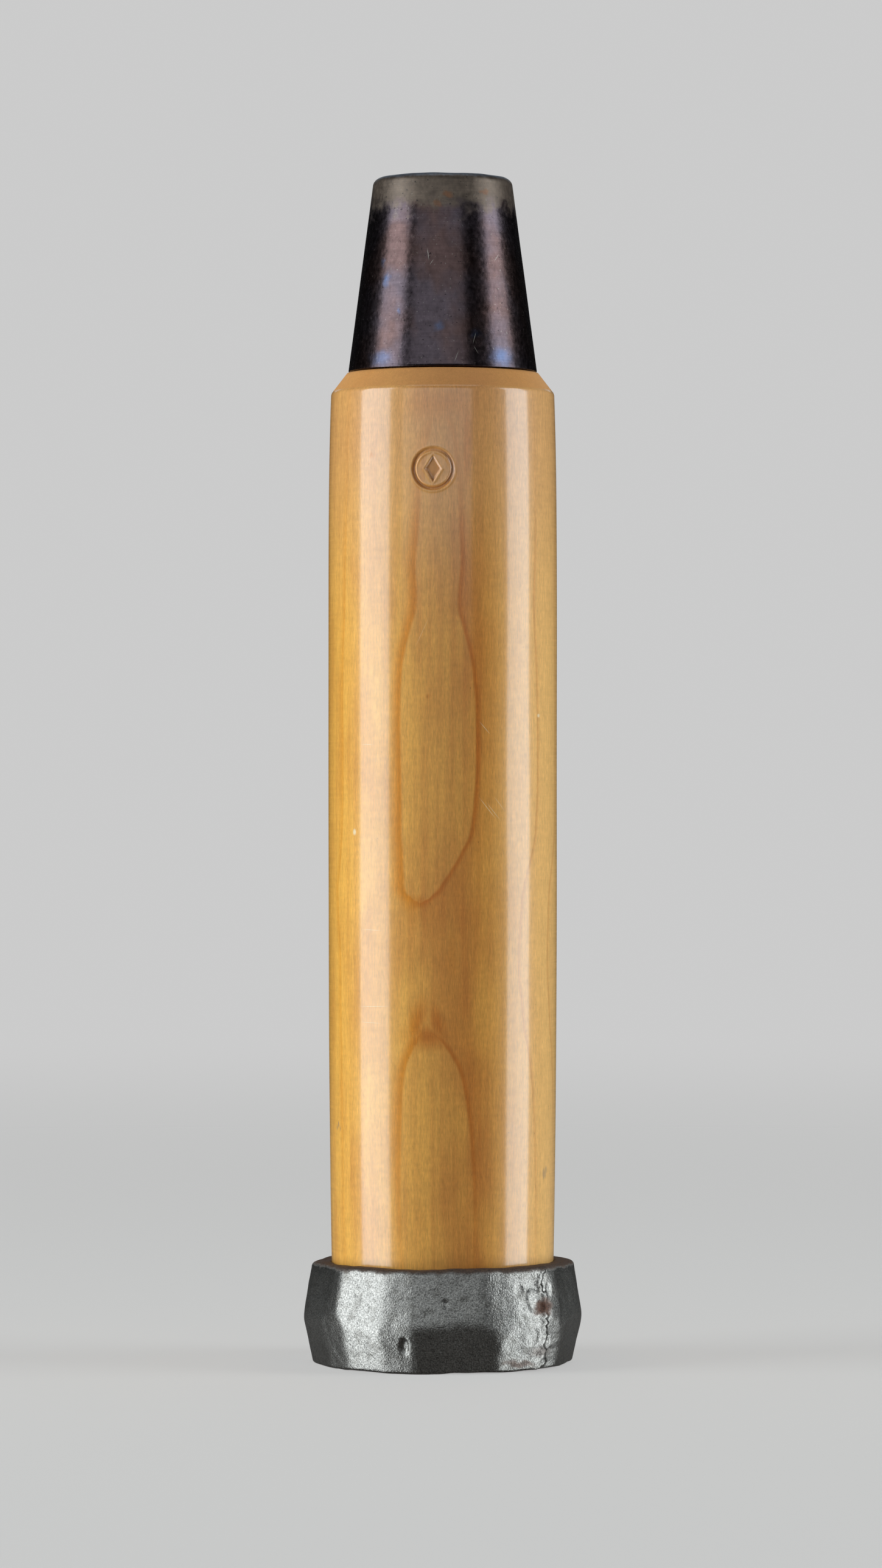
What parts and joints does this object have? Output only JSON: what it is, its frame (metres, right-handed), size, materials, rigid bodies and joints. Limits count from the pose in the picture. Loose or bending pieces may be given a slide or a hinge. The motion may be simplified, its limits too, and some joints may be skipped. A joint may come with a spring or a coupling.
{
  "type": "chisel handle",
  "caption": "Turned boxwood striking handle with a tapered steel ferrule at the blade end and a forged iron hoop at the struck end.",
  "frame": {"origin": "centre of the struck end, in the plane that the hoop stands on", "axes": "+Z along the handle from the struck end to the blade end; -Y is the front, which carries the pressed mark"},
  "size_m": [0.033, 0.0319, 0.14],
  "materials": {
    "boxwood": "oiled and varnished boxwood, satin gloss",
    "ferrule_steel": "heat-blackened turned steel, brown bare patina at the rim",
    "hoop_iron": "hand-forged, hammered and burnished, light rust in the pits"
  },
  "bodies": {
    "root": {"grip": "boxwood", "ferrule": "ferrule_steel", "hoop": "hoop_iron"}
  },
  "joints": []
}
